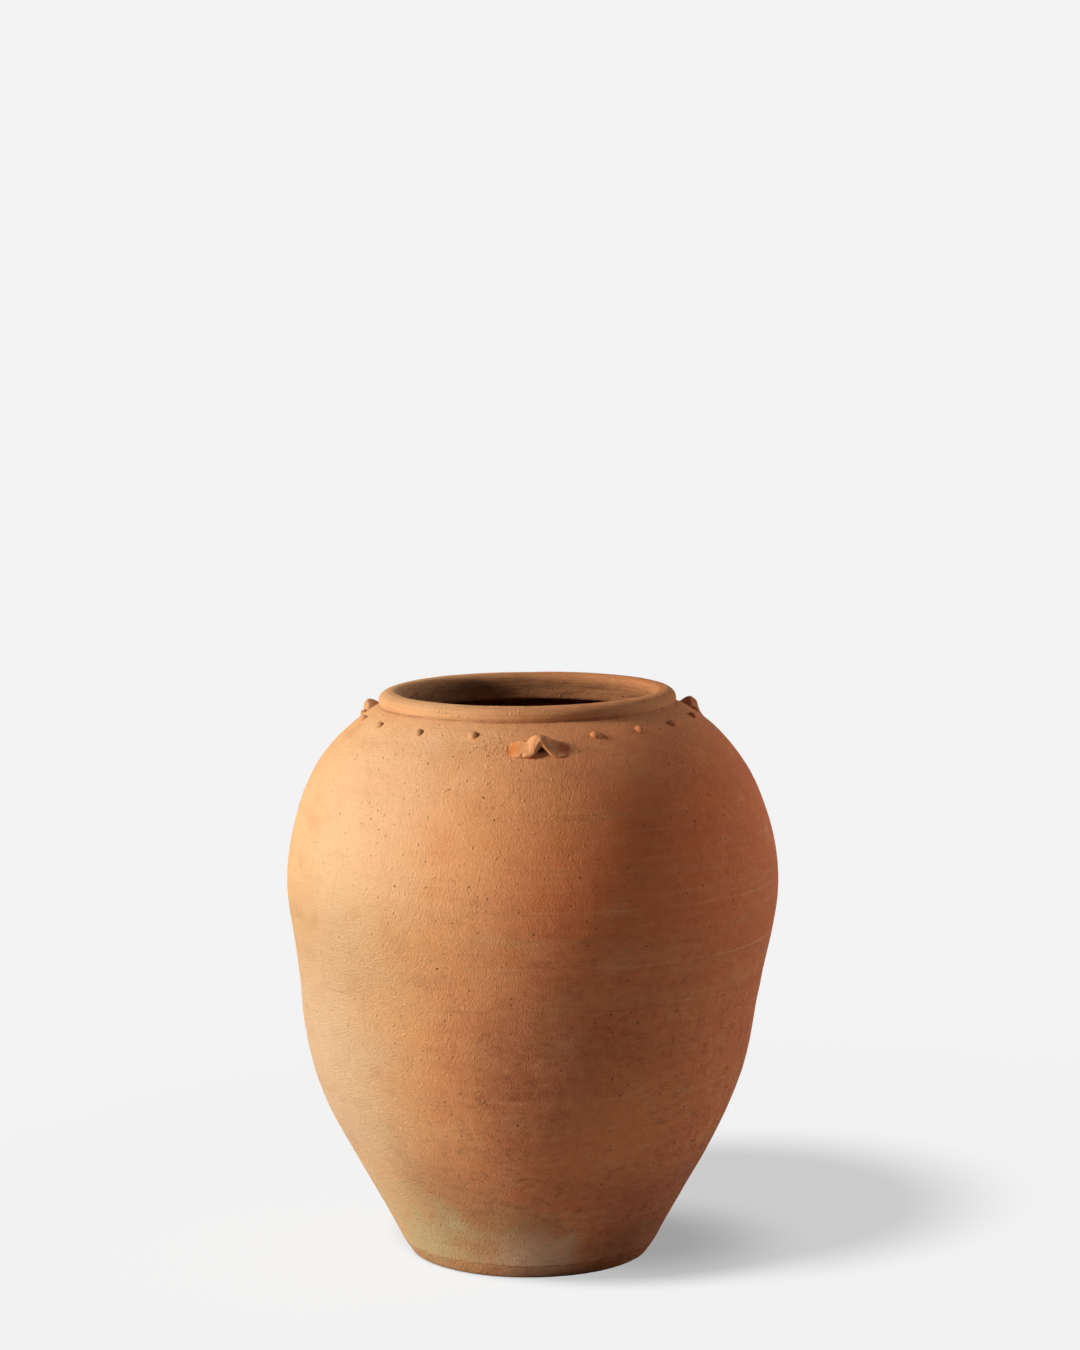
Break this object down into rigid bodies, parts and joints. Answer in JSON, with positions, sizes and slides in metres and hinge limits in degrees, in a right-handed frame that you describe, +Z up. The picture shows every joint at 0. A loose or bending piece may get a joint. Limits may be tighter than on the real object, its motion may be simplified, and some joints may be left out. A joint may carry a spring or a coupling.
{
  "type": "greek pithos",
  "caption": "Tall unglazed terracotta storage jar with a narrow foot, round belly, pinched lugs and clay pellets on the shoulder, and a rolled rim round an open mouth.",
  "frame": {"origin": "middle of the standing face under the foot", "axes": "+Z up along the jar's axis, the front lug towards -Y, +X to the right seen from the front"},
  "size_m": [0.517, 0.517, 0.6],
  "materials": {
    "wall_clay": "matt unglazed terracotta, streaked and speckled",
    "foot_clay": "rough unglazed terracotta",
    "applied_clay": "matt unglazed terracotta"
  },
  "bodies": {
    "root": {"base_disc": "foot_clay", "base_luting_coil": "wall_clay", "wall_course_1": "wall_clay", "wall_course_2": "wall_clay", "wall_course_3": "wall_clay", "wall_course_4": "wall_clay", "wall_course_5": "wall_clay", "shoulder_course": "wall_clay", "collar_course": "wall_clay", "rim_roll": "wall_clay", "lug_front": "applied_clay", "lug_right": "applied_clay", "lug_left": "applied_clay", "pellet_front_right_1": "applied_clay", "pellet_front_right_2": "applied_clay", "pellet_front_right_3": "applied_clay", "pellet_front_right_4": "applied_clay", "pellet_front_right_5": "applied_clay", "pellet_back_1": "applied_clay", "pellet_back_2": "applied_clay", "pellet_back_3": "applied_clay", "pellet_back_4": "applied_clay", "pellet_back_5": "applied_clay", "pellet_front_left_1": "applied_clay", "pellet_front_left_2": "applied_clay", "pellet_front_left_3": "applied_clay", "pellet_front_left_4": "applied_clay", "pellet_front_left_5": "applied_clay"}
  },
  "joints": []
}
